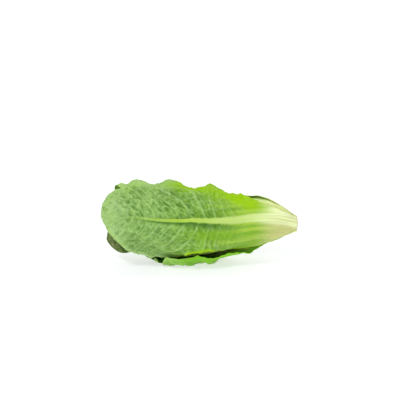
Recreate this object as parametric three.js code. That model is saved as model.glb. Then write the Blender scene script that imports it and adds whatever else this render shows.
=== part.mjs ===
// A romaine lettuce head lying on its side, in millimetres. A short solid stem, cut flat at
// the butt, carries twenty leaves on a spiral, each 137.5 degrees round from the last. Every
// leaf is one thin blade with a thick midrib on its outer side and a waved edge.
// +X points out of the cut butt, +Z up, and the head rests on its lowest leaf at z = 0.

import * as THREE from "three";

// ---------- driving dimensions ----------

const REST_HEIGHT = 54; // the head's axis above the surface it lies on
const LEAF_COUNT = 20;
const TWIST = THREE.MathUtils.degToRad(137.5); // from each leaf to the next one in
const FIRST_LEAF = THREE.MathUtils.degToRad(-117.5); // 0 faces -Y, 90 degrees is straight up
const CUT_LEAVES = 5; // the outermost ones, cut through with the stem
const ATTACH_FIRST = 0.65; // in stations, see below: where the next leaf joins the stem
const ATTACH_STEP = 0.15; // and how much higher each one after it does, about 4 mm

const BLADE = 1.1; // thickness of a leaf's blade
const FOOT = 1.8; // and of its fleshy foot
const FOOT_AIR = 0.5; // gap between one leaf and the next at the butt
const AIR = 3; // and where the leaves are loose
const RIB_RISE = 3.4; // how far a midrib stands out of the blade at its foot
const RIB_FOOT = 13; // half the midrib's width at its foot
const RIB_TIP = 1.6; // and where it dies out
const DRAPE = 0.35; // share of a leaf's thickness felt where the leaf itself isn't

const RUFFLE = 4.5; // how far a free edge waves outwards
const WAVES = 5.5; // along one edge of a leaf
const DRAPE_REACH = 18; // how far past a leaf's edge the leaf outside it comes down

// The head's outline from butt to crown, as [distance from the cut, radius, rise of the
// axis], and the line that its innermost leaf wraps, as [distance, radius]. One step of the
// list is one station, about 25 mm along the outline, and both lists share their stations.
// The axis sags where the head is heaviest and rises at the crown.
const OUTLINE = [
  [0, 11, 0], [25, 26.2, 4.2], [50, 34.8, 4.5], [75, 39.3, 3], [100, 44.5, 1.5], [125, 49.5, 0.5],
  [150, 53, 0], [175, 54, 2], [199, 51.5, 5.5], [220, 46.5, 8], [241, 39.5, 9],
  [259, 25, 8.5], [267, 0, 8],
];
const CORE = [
  [0, 5], [25, 7.5], [50, 7.3], [75, 6.2], [100, 4.8], [124, 4.2], [147, 4],
  [169, 4], [190, 3.8], [209, 3.4], [224, 2.6], [235, 1.4], [240, 0],
];
const STATIONS = OUTLINE.length - 1;
const STATION_MM = 25;
const BUTT_X = 129; // the cut face, in the head's own frame
const STEM_LENGTH = 82;
const STEM_CLEAR = 0.4; // between the stem and the leaves' feet

// ---------- small helpers ----------

const { clamp, lerp, smoothstep, euclideanModulo, degToRad } = THREE.MathUtils;

// A number from -0.5 to 0.5 for leaf i, the same each time. Each prime gives its own series.
const vary = (i, prime) => euclideanModulo((i + 1) * Math.sqrt(prime), 1) - 0.5;

const turn = (angle) => euclideanModulo(angle + Math.PI, 2 * Math.PI) - Math.PI;

// The row of a list at any station, on a smooth curve through all its rows.
function along(list, station) {
  const s = clamp(station, 0, STATIONS);
  const k = Math.min(Math.floor(s), STATIONS - 1);
  const t = s - k;
  return list[0].map((_, c) => {
    const [a, b, d, e] = [-1, 0, 1, 2].map((n) => list[clamp(k + n, 0, STATIONS)][c]);
    const [m0, m1] = [(d - a) / 2, (e - b) / 2];
    return (2 * b - 2 * d + m0 + m1) * t ** 3 + (3 * d - 3 * b - 2 * m0 - m1) * t ** 2 + m0 * t + b;
  });
}

// ---------- the leaves ----------

// Half widths are angles round the head's axis. low is the edge on the falling side of the
// angle and high the other one: widths is a list of [share of the length, degrees], shoulder
// the share from where it rounds off to the tip, and bluntness how full it stays there.
// lift is how far a free tip stands off the crown, ruffle how far a free edge waves, steady
// how much of that the low edge stands out evenly, tuck how much less it does at the crown's
// side, and flap lays the high edge out flat.
const edge = (widths, shoulder = 0.7, bluntness = 2.3) => ({ widths, shoulder, bluntness });
const usual = (full) => [[0.05, 58], [0.5, full]];
const leaves = [];
for (let i = 0; i < LEAF_COUNT; i++) {
  leaves.push({
    index: i,
    angle: FIRST_LEAF + i * TWIST + (i < CUT_LEAVES ? 0 : 0.2 * vary(i, 2)),
    start: i < CUT_LEAVES ? 0 : ATTACH_FIRST + (i - CUT_LEAVES) * ATTACH_STEP,
    end: 11.15 - 0.5 * Math.abs(vary(i, 3)) - 0.05 * Math.max(0, i - 7),
    low: edge(usual(74 + 12 * vary(i, 5))),
    high: edge(usual(74 + 12 * vary(i, 7))),
    lift: 6,
    flap: 0,
    ruffle: RUFFLE,
    phase: 7 * vary(i, 11),
    steady: 0,
    tuck: 0,
  });
}
// The lowest leaf, whose front edge spreads along the surface.
Object.assign(leaves[0], {
  end: 10.6,
  low: edge([[0.05, 60], [0.5, 80]]),
  high: edge(
    [[0.13, 33], [0.29, 61], [0.42, 63], [0.52, 64], [0.59, 76], [0.65, 71], [0.73, 22], [0.83, 22],
      [0.89, 36]],
    0.86, 1.6,
  ),
  lift: 8,
  flap: 1,
});
// The front leaf, which wraps the whole head and hoods its crown.
Object.assign(leaves[1], {
  end: 11.45,
  low: edge(
    [[0.2, 84], [0.44, 50], [0.505, 50], [0.565, 77], [0.68, 86], [0.77, 80], [0.92, 50]],
    0.76, 1.3,
  ),
  high: edge([[0, 36], [0.08, 30], [0.45, 84]], 0.76),
  lift: 0,
  ruffle: 8.5,
  phase: -0.69,
  steady: 0.85,
  tuck: 0.6,
});
// The back leaf, whose tip stands open.
Object.assign(leaves[2], {
  end: 10.1,
  low: edge([[0.05, 44], [0.5, 80]], 0.75),
  high: edge([[0.05, 60], [0.5, 82]]),
  lift: 13,
});

// The leaf between those two, whose tip stays in behind the front leaf.
Object.assign(leaves[3], { end: 10.4, lift: 0 });

const TIP_END = 0.1; // share of a leaf's width left at the very end of its tip

// A width from a list of [share, degrees], passing smoothly from each to the next.
function widthAt(widths, a) {
  let width = widths[0][1];
  for (let n = 1; n < widths.length; n++) {
    const [[from], [until, next]] = [widths[n - 1], widths[n]];
    width = lerp(width, next, smoothstep(a, from, until));
  }
  return degToRad(width);
}

// Half the leaf's width at a station, as an angle, on one side. A skirt makes the outline
// larger, for what lies outside this leaf and has to clear its edge.
function halfAngle(leaf, side, station, skirt = 0) {
  const reach = leaf.end + skirt - leaf.start;
  const a = clamp((station - leaf.start) / reach, 0, 1);
  const width = widthAt(side.widths, a);
  const t = Math.max(0, (a - side.shoulder) / (1 - side.shoulder));
  const wave = 1 + 0.03 * Math.sin(2 * Math.PI * 7 * a + leaf.phase) * smoothstep(a, 0.2, 0.5);
  return width * wave * (TIP_END + (1 - TIP_END) * Math.sqrt(1 - t ** side.bluntness));
}

const bladeThickness = (a) => lerp(FOOT, BLADE, smoothstep(a, 0, 0.35));
const ribHalf = (a) => lerp(RIB_FOOT, RIB_TIP, clamp(a, 0, 1) ** 0.6);
const ribRise = (a) => RIB_RISE * (1 - smoothstep(a, 0.1, 0.95));
const share = (leaf, station) => (station - leaf.start) / (leaf.end - leaf.start);

const EDGE_SKIRT = 3; // mm past a leaf's edge before the leaf outside comes down
const TIP_SKIRT = 0.45; // and stations past its tip
const FULL_SKIRT = 22; // the head's radius from where the skirt is as wide as that

// 1 on the leaf and a little round it, falling smoothly to 0 further out.
function cover(leaf, station, angle) {
  const off = turn(angle - leaf.angle);
  const side = off < 0 ? leaf.low : leaf.high;
  const radius = along(OUTLINE, station)[1];
  const past = (Math.abs(off) - halfAngle(leaf, side, station, TIP_SKIRT)) * radius;
  const skirt = Math.min(1, radius / FULL_SKIRT);
  const beside = smoothstep(past, EDGE_SKIRT * skirt, (EDGE_SKIRT + DRAPE_REACH) * skirt);
  const beyond = smoothstep(station, leaf.end + 0.1, leaf.end + 1);
  return (1 - beside) * (1 - beyond) * attached(leaf, station);
}

// Below a leaf's foot the leaves outside it close in on the stem over this many stations.
const CLOSE_IN = 0.9;
const attached = (leaf, station) =>
  leaf.start === 0
    ? 1
    : smoothstep(station, Math.max(0, leaf.start - CLOSE_IN), leaf.start - 0.03);

// How much room the leaf takes out of the head's radius at this place, before scaling.
function room(leaf, station, angle) {
  const a = share(leaf, station);
  const beside = Math.abs(turn(angle - leaf.angle)) * along(OUTLINE, station)[1];
  const rib = ribRise(a) * (1 - smoothstep(beside, ribHalf(a), ribHalf(a) + 15));
  const air = FOOT_AIR + (AIR - FOOT_AIR) * smoothstep(station, 0, 6);
  const felt = DRAPE + (1 - DRAPE) * cover(leaf, station, angle);
  return (bladeThickness(a) + air) * felt * attached(leaf, station) + rib * cover(leaf, station, angle);
}

// The stack of all leaves, averaged round the head, fills the outline: scale[n] is the
// factor for tenth-of-a-station n.
const AVERAGE_OVER = 36;
const scales = [];
for (let n = 0; n <= 10 * STATIONS; n++) {
  const station = n / 10;
  let total = 0;
  for (let m = 0; m < AVERAGE_OVER; m++) {
    const angle = (2 * Math.PI * m) / AVERAGE_OVER;
    for (const leaf of leaves) total += room(leaf, station, angle) / AVERAGE_OVER;
  }
  const [x1, r1] = along(OUTLINE, station);
  const [x0, r0] = along(CORE, station);
  scales.push(Math.hypot(x1 - x0, r1 - r0) / total);
}
function scaleAt(station) {
  const n = Math.min(Math.floor(station * 10), 10 * STATIONS - 1);
  return lerp(scales[n], scales[n + 1], station * 10 - n);
}

// Distance of the leaf's inner face from the core line, along the line to the outline.
function innerDepth(leaf, station, angle) {
  let depth = 0;
  for (const inside of leaves.slice(leaf.index + 1)) depth += room(inside, station, angle);
  return depth * scaleAt(station) + STEM_CLEAR;
}

// 1 where nothing covers the leaf, 0 under the leaves outside it.
function freedom(leaf, station, angle) {
  let free = 1;
  for (const outside of leaves.slice(0, leaf.index)) free *= 1 - cover(outside, station, angle);
  return free;
}

// How far a free part of the leaf stands out of the stack: waves along its edge, its tip
// lifting off the crown, and the flap that the lowest leaf lays out along the surface, up
// to where it curls up again in front of the head.
const FLAP_FULL = degToRad(22); // where the flap leaves the surface, forward of straight down
const FLAP_END = degToRad(40); // and where it is back on the head's own outline
function standOut(leaf, station, across, angle) {
  const a = share(leaf, station);
  const nearEdge = smoothstep(Math.abs(across), 0.5, 1);
  const waving = smoothstep(a, 0.15, 0.35) * (1 - smoothstep(a, 0.85, 1)) * nearEdge ** 1.5;
  const curve = 0.5 + 0.5 * Math.sin(2 * Math.PI * WAVES * a + leaf.phase + Math.sign(across));
  const wave = across < 0 ? lerp(curve, 1, leaf.steady) : curve;
  const crownward = smoothstep(a, 0.61, 0.67) * (1 - smoothstep(a, 0.71, 0.82));
  const held = across < 0 ? 1 - leaf.tuck * crownward : 1;
  let out = leaf.ruffle * waving * wave * held + leaf.lift * smoothstep(a, 0.72, 1) ** 1.3;
  if (leaf.flap) {
    const past = clamp(turn(angle + Math.PI / 2), 0, FLAP_END);
    const flat = leaf.flap * (1 - smoothstep(past, FLAP_FULL, FLAP_END));
    out += flat * along(OUTLINE, station)[1] * (1 / Math.cos(past) - 1);
  }
  return out * freedom(leaf, station, angle);
}

// A point of a leaf in the head's frame. across runs from -1 to 1, height is 0 on the inner
// face and 1 on the outer one.
function leafPoint(leaf, station, across, height) {
  const side = across < 0 ? leaf.low : leaf.high;
  const angle = leaf.angle + across * halfAngle(leaf, side, station);
  const [x0, r0] = along(CORE, station);
  const [x1, r1, rise] = along(OUTLINE, station);
  const reach = Math.hypot(x1 - x0, r1 - r0);
  const a = share(leaf, station);
  const beside = Math.abs(turn(angle - leaf.angle)) * r1;
  const rib = ribRise(a) * (1 - smoothstep(beside, 0.4 * ribHalf(a), 1.3 * ribHalf(a)));
  const thick = (bladeThickness(a) + rib) * Math.min(1, scaleAt(station));
  const depth = innerDepth(leaf, station, angle) + height * thick;
  const out = (depth + standOut(leaf, station, across, angle)) / reach;
  const radius = r0 + (r1 - r0) * out;
  return new THREE.Vector3(
    BUTT_X - (x0 + (x1 - x0) * out),
    -radius * Math.cos(angle),
    radius * Math.sin(angle) + rise,
  );
}

// The lowest leaf lies on the surface. The head's weight presses it flat where it would
// reach lower, which lifts the leaves above it a little, and along its middle it sags down
// to the surface where it wouldn't reach it.
const LIFT_FADE = 45; // height over which the leaves above take up the lift
const SAG_SPAN = [3.9, 4.6, 7.3, 8.4]; // stations where the sag starts, is full, and ends
const SAG_MIDDLE = degToRad(-99); // a little behind straight down
const SAG_ROUND = [degToRad(19), degToRad(34)]; // full and none, on both sides of that
function restOnSurface(point, leaf, station, across) {
  const side = across < 0 ? leaf.low : leaf.high;
  const angle = leaf.angle + across * halfAngle(leaf, side, station);
  const lowest = leaves[0];
  const off = turn(angle - lowest.angle);
  const lowSide = off < 0 ? lowest.low : lowest.high;
  const place = off / halfAngle(lowest, lowSide, station);
  if (Math.abs(place) > 1 || station > lowest.end) {
    point.z = Math.max(point.z, -REST_HEIGHT);
    return point;
  }
  const under = leafPoint(lowest, station, place, 1).z;
  const move = -REST_HEIGHT - under;
  if (move > 0) {
    point.z += move * clamp(1 - (point.z - under) / LIFT_FADE, 0, 1);
  } else if (leaf === lowest) {
    const [from, full, until, end] = SAG_SPAN;
    const lengthwise = smoothstep(station, from, full) * (1 - smoothstep(station, until, end));
    const round = 1 - smoothstep(Math.abs(turn(angle - SAG_MIDDLE)), ...SAG_ROUND);
    point.z += move * lengthwise * round;
  }
  return point;
}

// One closed blade: two faces of the same grid, split alike, and a rim round them. Rows
// crowd towards both ends of the leaf and columns towards its midrib.
const ROW_CROWDING = 0.5;
const COLUMN_CROWDING = 1.12;
function leafGeometry(leaf, rows, columns) {
  const positions = [];
  for (const height of [1, 0]) {
    for (let row = 0; row <= rows; row++) {
      const s = row / rows;
      const a = lerp(s, (1 - Math.cos(Math.PI * s)) / 2, ROW_CROWDING);
      const station = lerp(leaf.start, leaf.end, a);
      for (let column = 0; column <= columns; column++) {
        const c = (2 * column) / columns - 1;
        const across = Math.sign(c) * Math.abs(c) ** COLUMN_CROWDING;
        const point = leafPoint(leaf, station, across, height);
        positions.push(...restOnSurface(point, leaf, station, across));
      }
    }
  }
  const face = (rows + 1) * (columns + 1);
  const at = (row, column) => row * (columns + 1) + column;
  const index = [];
  for (let row = 0; row < rows; row++) {
    for (let column = 0; column < columns; column++) {
      const [p, q] = [at(row, column), at(row, column + 1)];
      const [r, s] = [at(row + 1, column), at(row + 1, column + 1)];
      index.push(p, q, s, p, s, r);
      index.push(face + p, face + s, face + q, face + p, face + r, face + s);
    }
  }
  const rim = [];
  for (let column = 0; column < columns; column++) rim.push(at(0, column));
  for (let row = 0; row < rows; row++) rim.push(at(row, columns));
  for (let column = columns; column > 0; column--) rim.push(at(rows, column));
  for (let row = rows; row > 0; row--) rim.push(at(row, 0));
  rim.forEach((p, n) => {
    const q = rim[(n + 1) % rim.length];
    index.push(p, face + q, q, p, face + p, face + q);
  });
  const geometry = new THREE.BufferGeometry();
  geometry.setAttribute("position", new THREE.Float32BufferAttribute(positions, 3));
  geometry.setIndex(index);
  geometry.computeVertexNormals();
  return geometry;
}

// ---------- the stem ----------

// A tapering solid with a flat cut and a rounded growing point, hidden by the leaves.
function stemGeometry() {
  const profile = [new THREE.Vector2(0, 0)];
  for (let z = 0; z < STEM_LENGTH; z += 11) {
    profile.push(new THREE.Vector2(along(CORE, z / STATION_MM)[1] - STEM_CLEAR, z));
  }
  profile.push(new THREE.Vector2(3.5, STEM_LENGTH), new THREE.Vector2(0, STEM_LENGTH + 3));
  const geometry = new THREE.LatheGeometry(profile, 20);
  geometry.rotateZ(Math.PI / 2);
  const points = geometry.attributes.position;
  for (let n = 0; n < points.count; n++) {
    const rise = along(OUTLINE, -points.getX(n) / STATION_MM)[2];
    points.setXYZ(n, points.getX(n) + BUTT_X, points.getY(n), points.getZ(n) + rise);
  }
  return geometry;
}

// ---------- the head ----------

const head = new THREE.Group();
function addPiece(name, geometry, color, roughness) {
  const material = new THREE.MeshStandardMaterial({ color, roughness, metalness: 0 });
  const piece = new THREE.Mesh(geometry, material);
  piece.name = name;
  head.add(piece);
}

const CUT_CREAM = 0xe6e6c0;
addPiece("stem", stemGeometry(), CUT_CREAM, 0.6);

// The outer wrapper leaves are a full green, those inside them paler, and the heart yellow.
const kinds = [
  { upTo: 7, rows: 20, columns: 14, color: 0x7fae45 },
  { upTo: 13, rows: 15, columns: 10, color: 0xa9c95c },
  { upTo: LEAF_COUNT, rows: 12, columns: 8, color: 0xd9e38a },
];
for (const leaf of leaves) {
  const { rows, columns, color } = kinds.find((kind) => leaf.index < kind.upTo);
  const name = `leaf_${String(leaf.index + 1).padStart(2, "0")}`;
  addPiece(name, leafGeometry(leaf, rows, columns), color, 0.5);
}

// The frame's origin is under the middle of the head, on the surface it lies on.
const box = new THREE.Box3().setFromObject(head);
const middle = box.getCenter(new THREE.Vector3());
head.position.set(-middle.x, -middle.y, -box.min.z);

export default head;
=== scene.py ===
# A romaine lettuce head lying on its side. Twenty long leaves grow on a spiral round a short
# stem that is cut flat at the butt. Each has a thick pale midrib on its outer side, raised
# veins with puckered blade between them, and a waved edge.
import math

import bpy
import numpy as np
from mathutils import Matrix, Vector


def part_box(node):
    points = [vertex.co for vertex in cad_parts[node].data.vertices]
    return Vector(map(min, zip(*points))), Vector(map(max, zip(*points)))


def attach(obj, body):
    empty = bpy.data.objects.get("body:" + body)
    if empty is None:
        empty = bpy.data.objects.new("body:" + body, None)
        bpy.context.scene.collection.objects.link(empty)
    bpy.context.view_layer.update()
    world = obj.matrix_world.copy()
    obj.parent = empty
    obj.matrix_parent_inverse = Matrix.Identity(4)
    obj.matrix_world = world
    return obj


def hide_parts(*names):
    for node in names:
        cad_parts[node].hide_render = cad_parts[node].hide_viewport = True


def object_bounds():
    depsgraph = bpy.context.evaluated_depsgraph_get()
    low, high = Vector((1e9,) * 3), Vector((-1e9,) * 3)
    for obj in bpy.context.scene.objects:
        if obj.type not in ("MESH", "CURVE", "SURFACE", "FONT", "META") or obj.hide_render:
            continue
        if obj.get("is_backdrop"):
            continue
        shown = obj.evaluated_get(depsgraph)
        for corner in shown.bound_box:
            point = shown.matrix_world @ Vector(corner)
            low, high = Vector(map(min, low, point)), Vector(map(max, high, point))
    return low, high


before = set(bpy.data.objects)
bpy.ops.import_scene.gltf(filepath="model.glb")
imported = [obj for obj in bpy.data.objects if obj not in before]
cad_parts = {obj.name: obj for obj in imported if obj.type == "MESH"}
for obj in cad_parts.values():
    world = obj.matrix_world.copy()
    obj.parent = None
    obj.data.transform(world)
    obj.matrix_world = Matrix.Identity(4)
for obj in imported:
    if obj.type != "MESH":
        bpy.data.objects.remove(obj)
cad_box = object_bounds()

# ---------- the stem ----------
# The short solid stem that all leaves grow on, cut through with a knife at the butt. Its
# flesh is cream with a ring of veins, and the cut has dried and browned at its rim. Just
# behind the cut it widens into the plate that carries the outermost leaf feet.

MM = 0.001
STATION_MM = 25
AXIS_HEIGHT = 54
# The head's outline, a row for each station along it: distance from the cut, radius, rise
# of the axis. Lengths are in mm, and an angle round the axis starts at -Y and goes upwards.
OUTLINE = np.array([
    [0, 11, 0], [25, 26.2, 4.2], [50, 34.8, 4.5], [75, 39.3, 3], [100, 44.5, 1.5],
    [125, 49.5, 0.5], [150, 53, 0], [175, 54, 2], [199, 51.5, 5.5], [220, 46.5, 8],
    [241, 39.5, 9], [259, 25, 8.5], [267, 0, 8],
])
# The line that the innermost leaf wraps, at the same stations: distance from the cut, radius.
CORE = np.array([
    [0, 5], [25, 7.5], [50, 7.3], [75, 6.2], [100, 4.8], [124, 4.2], [147, 4],
    [169, 4], [190, 3.8], [209, 3.4], [224, 2.6], [235, 1.4], [240, 0],
])
STATIONS = len(OUTLINE) - 1
STEM_LENGTH = 82
STEM_CLEAR = 0.4
STEM_SIDES = 64
STEM_RINGS = 44
PLATE_BACK = 4  # where the plate ends and the even rings of the stem begin
TIP_TAPER = 4  # how far in front of the tip they end
CUT_RADIUS = CORE[0, 1] - STEM_CLEAR
PLATE_RADIUS = 8.4
CUT_RINGS = [(0, part * CUT_RADIUS) for part in np.linspace(0.03, 0.94, 12)]
# From the rim of the cut back over the plate: distance from the cut, radius.
PLATE_RINGS = [
    (0.12, CUT_RADIUS * 0.985), (0.4, CUT_RADIUS), (0.55, CUT_RADIUS + 0.5),
    (0.6, PLATE_RADIUS * 0.8), (0.7, PLATE_RADIUS * 0.95), (1.0, PLATE_RADIUS),
    (2.2, PLATE_RADIUS * 0.98), (3.0, CUT_RADIUS + 1),
]
TIP_RINGS = [(STEM_LENGTH - 1, 4.2), (STEM_LENGTH + 1.4, 2.6), (STEM_LENGTH + 2.8, 0.2)]
UNEVEN = 0.02  # how far the stem is out of round and how deep its leaf scars are, of the radius
LOBES = 5
LOBES_FROM = (0, 0.8)  # a span of two numbers is where a form begins and where it is full
SCAR_PITCH = 0.75
SCAR_STARTS = 3
SCARS_FROM = (1, 6)

stem_low, stem_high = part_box("stem")
CUT_FACE_X = stem_high.x / MM
MIDDLE_Y = (stem_low.y + stem_high.y) / 2 / MM


def along(rows, station):
    """The row of a list at any station, on a smooth curve through all its rows."""
    s = np.clip(station, 0, STATIONS)
    k = np.minimum(np.floor(s).astype(int), STATIONS - 1)
    t = (s - k)[..., None]
    before, here, after, beyond = (rows[np.clip(k + n, 0, STATIONS)] for n in (-1, 0, 1, 2))
    leaving = (after - before) / 2
    arriving = (beyond - here) / 2
    cubic = (2 * here - 2 * after + leaving + arriving) * t**3
    square = (3 * after - 3 * here - 2 * leaving - arriving) * t**2
    return np.moveaxis(cubic + square + leaving * t + here, -1, 0)


def smoothstep(value, low, high):
    """0 below low, 1 above high, and smooth between them."""
    t = np.clip((value - low) / (high - low), 0, 1)
    return t * t * (3 - 2 * t)


def make_mesh(name, points, faces, smooth=True):
    """A mesh object from points in metres and four-cornered faces."""
    mesh = bpy.data.meshes.new(name)
    mesh.vertices.add(len(points))
    mesh.vertices.foreach_set("co", np.asarray(points, np.float32).ravel())
    mesh.loops.add(faces.size)
    mesh.loops.foreach_set("vertex_index", faces.astype(np.int32).ravel())
    mesh.polygons.add(len(faces))
    mesh.polygons.foreach_set("loop_start", np.arange(0, faces.size, 4, dtype=np.int32))
    mesh.polygons.foreach_set("use_smooth", np.full(len(faces), smooth))
    mesh.update(calc_edges=True)
    mesh.validate()
    piece = bpy.data.objects.new(name, mesh)
    bpy.context.scene.collection.objects.link(piece)
    return piece


def paint(red, green, blue):
    """A colour from its screen values, 0 to 255, as the light values that nodes take."""
    screen = np.array([red, green, blue]) / 255
    light = np.where(screen <= 0.04045, screen / 12.92, ((screen + 0.055) / 1.055) ** 2.4)
    return (*light.tolist(), 1)


def put(tree, kind, inputs=(), **settings):
    """A node of that kind, its settings made and its inputs joined or filled in."""
    node = tree.nodes.new(kind)
    for name, value in settings.items():
        setattr(node, name, value)
    for name, value in dict(inputs).items():
        if isinstance(value, bpy.types.NodeSocket):
            tree.links.new(value, node.inputs[name])
        else:
            node.inputs[name].default_value = value
    return node


def reckon(tree, operation, *values):
    """One sum on sockets or numbers."""
    return put(tree, "ShaderNodeMath", dict(enumerate(values)), operation=operation).outputs[0]


def times(tree, first, *others):
    """The product of sockets or numbers, multiplied in the order given."""
    product = first
    for value in others:
        product = reckon(tree, "MULTIPLY", product, value)
    return product


def step(tree, value, low, high, start=0, end=1):
    """start below low, end above high, and smooth between them."""
    inputs = {"Value": value, "From Min": low, "From Max": high, "To Min": start, "To Max": end}
    return put(tree, "ShaderNodeMapRange", inputs, interpolation_type="SMOOTHSTEP").outputs[0]


def mix_paint(tree, share, under, over):
    """under where share is 0, over where it is 1."""
    node = put(tree, "ShaderNodeMix", data_type="RGBA")
    share_socket, under_socket, over_socket = (node.inputs[n] for n in (0, 6, 7))
    for socket, value in ((share_socket, share), (under_socket, under), (over_socket, over)):
        if isinstance(value, bpy.types.NodeSocket):
            tree.links.new(value, socket)
        else:
            socket.default_value = value
    return node.outputs[2]


def coat(tree, under, *coats):
    """Lays colours over a ground, each over the last, as (share, colour)."""
    for share, colour in coats:
        under = mix_paint(tree, share, under, colour)
    return under


def grain(tree, place, scale, detail=3, rough=0.55):
    """Cloudy noise from 0 to 1."""
    inputs = {"Vector": place, "Scale": scale, "Detail": detail, "Roughness": rough}
    return put(tree, "ShaderNodeTexNoise", inputs).outputs[0]


def new_finish(name, roughness, gloss, glow, depth):
    """A material with one shader: glow is how much light goes through, depth how far."""
    material = bpy.data.materials.new(name)
    material.use_nodes = True
    tree = material.node_tree
    shader = tree.nodes["Principled BSDF"]
    shader.inputs["Roughness"].default_value = roughness
    shader.inputs["Specular IOR Level"].default_value = gloss
    shader.inputs["Subsurface Weight"].default_value = glow
    shader.inputs["Subsurface Radius"].default_value = (0.8, 1.0, 0.3)
    shader.inputs["Subsurface Scale"].default_value = depth
    return material, tree, shader


def stem_mesh():
    """Rings from the middle of the cut out over its rim and along the stem to its tip."""
    profile = CUT_RINGS + PLATE_RINGS
    for z in np.linspace(PLATE_BACK, STEM_LENGTH - TIP_TAPER, STEM_RINGS):
        profile.append((z, float(along(CORE, np.array(z / STATION_MM))[1]) - STEM_CLEAR))
    z, radius = np.array(profile + TIP_RINGS).T
    rise = along(OUTLINE, z / STATION_MM)[2]
    turns = np.linspace(0, 2 * np.pi, STEM_SIDES, endpoint=False)
    # The flat cut is round, the sides behind it have low lobes, and leaf scars ring them.
    lobed = 1 + UNEVEN * np.sin(LOBES * turns)[None] * smoothstep(z, *LOBES_FROM)[:, None]
    scar = np.sin(z[:, None] * SCAR_PITCH + turns[None] * SCAR_STARTS)
    scarred = 1 - UNEVEN * scar * smoothstep(z, *SCARS_FROM)[:, None]
    reach = radius[:, None] * lobed * scarred
    points = np.stack([
        np.broadcast_to(CUT_FACE_X - z[:, None], reach.shape),
        MIDDLE_Y - reach * np.cos(turns),
        AXIS_HEIGHT + rise[:, None] + reach * np.sin(turns),
    ], -1).reshape(-1, 3)
    count = len(z)
    ring = np.arange(STEM_SIDES)
    after = (ring + 1) % STEM_SIDES
    faces = [
        np.stack([n * STEM_SIDES + ring, n * STEM_SIDES + after,
                  (n + 1) * STEM_SIDES + after, (n + 1) * STEM_SIDES + ring], -1)
        for n in range(count - 1)
    ]
    # The two small holes at the ends are closed with strips of quads straight across.
    for first, flip in ((0, True), ((count - 1) * STEM_SIDES, False)):
        for n in range(STEM_SIDES // 2 - 1):
            cap = [first + n, first + n + 1,
                   first + STEM_SIDES - 2 - n, first + STEM_SIDES - 1 - n]
            faces.append(np.array([cap[::-1] if flip else cap]))
    return points * MM, np.concatenate(faces)


# The marks on the cut, as radii in metres, and how far they reach back from it.
VEIN_RING = 0.0037
VEIN_RING_WIDTH = 0.0007
BROWNED_FROM = (0.0044, 0.0064)
BROWNED_BACK = (0.0005, 0.004)
GREENER_FROM = (0.004, 0.03)
WOBBLE = 0.0016


def stem_finish():
    """Cream flesh with a ring of veins on the cut, browned at the rim, greener inside."""
    material, tree, shader = new_finish(
        "stem_flesh", roughness=0.5, gloss=0.4, glow=0.25, depth=0.004)
    place = put(tree, "ShaderNodeTexCoord").outputs["Object"]
    axis = (CUT_FACE_X * MM, MIDDLE_Y * MM, AXIS_HEIGHT * MM)
    apart = put(tree, "ShaderNodeVectorMath", {0: place, 1: axis}, operation="SUBTRACT").outputs[0]
    parts = put(tree, "ShaderNodeSeparateXYZ", {0: apart}).outputs
    behind = reckon(tree, "MULTIPLY", parts[0], -1)
    flat = put(tree, "ShaderNodeCombineXYZ", {"Y": parts[1], "Z": parts[2]}).outputs[0]
    radius = put(tree, "ShaderNodeVectorMath", {0: flat}, operation="LENGTH").outputs["Value"]
    cloud = grain(tree, place, scale=420)
    speck = grain(tree, place, scale=1900, detail=2)
    wobble = reckon(tree, "MULTIPLY_ADD", cloud, WOBBLE, radius)
    from_ring = reckon(tree, "ABSOLUTE", reckon(tree, "SUBTRACT", wobble, VEIN_RING))
    ring = step(tree, from_ring, 0, VEIN_RING_WIDTH, 1, 0)
    browned = times(tree, step(tree, wobble, *BROWNED_FROM),
                    step(tree, behind, *BROWNED_BACK, 1, 0), 0.7)
    flesh = coat(
        tree, paint(226, 224, 186),
        (cloud, paint(240, 238, 208)),
        (times(tree, ring, 0.45), paint(186, 190, 112)),
        (browned, paint(178, 146, 98)),
        (step(tree, speck, 0.62, 0.75, 0, 0.5), paint(196, 170, 122)),
        (step(tree, behind, *GREENER_FROM), paint(206, 222, 132)),
    )
    tree.links.new(flesh, shader.inputs["Base Color"])
    bump = put(tree, "ShaderNodeBump", {"Strength": 0.35, "Distance": 0.0006, "Height": speck})
    tree.links.new(bump.outputs[0], shader.inputs["Normal"])
    return material


stem = make_mesh("stem_cut", *stem_mesh())
stem.data.materials.append(stem_finish())
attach(stem, "root")
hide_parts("stem")

# ---------- the leaves ----------
# Every leaf is one blade with a thick midrib on its outer side, thinning to its tip and to
# its edge. They are stacked from the inside out, each resting on those inside it, and the
# stack fills the head's outline. Only where nothing covers a leaf can its edge wave freely.

LEAF_COUNT = 20
TWIST = math.radians(137.5)
FIRST_LEAF = math.radians(-117.5)
CUT_LEAVES = 5  # the outermost leaves, whose feet reach the cut
ATTACH_FIRST = 0.65  # the station where the next leaf grows on the stem, and the step inwards
ATTACH_STEP = 0.15
ANGLE_VARIES = 0.2
TIP_STATION = 11.15
TIP_VARIES = 0.5
TIP_SHORTENS = 0.05  # how much sooner each leaf ends than the last, past the leaf SHORTER_FROM
SHORTER_FROM = 7
HALF_WIDTH = 74  # in degrees
WIDTH_VARIES = 12
PHASE_VARIES = 7

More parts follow.
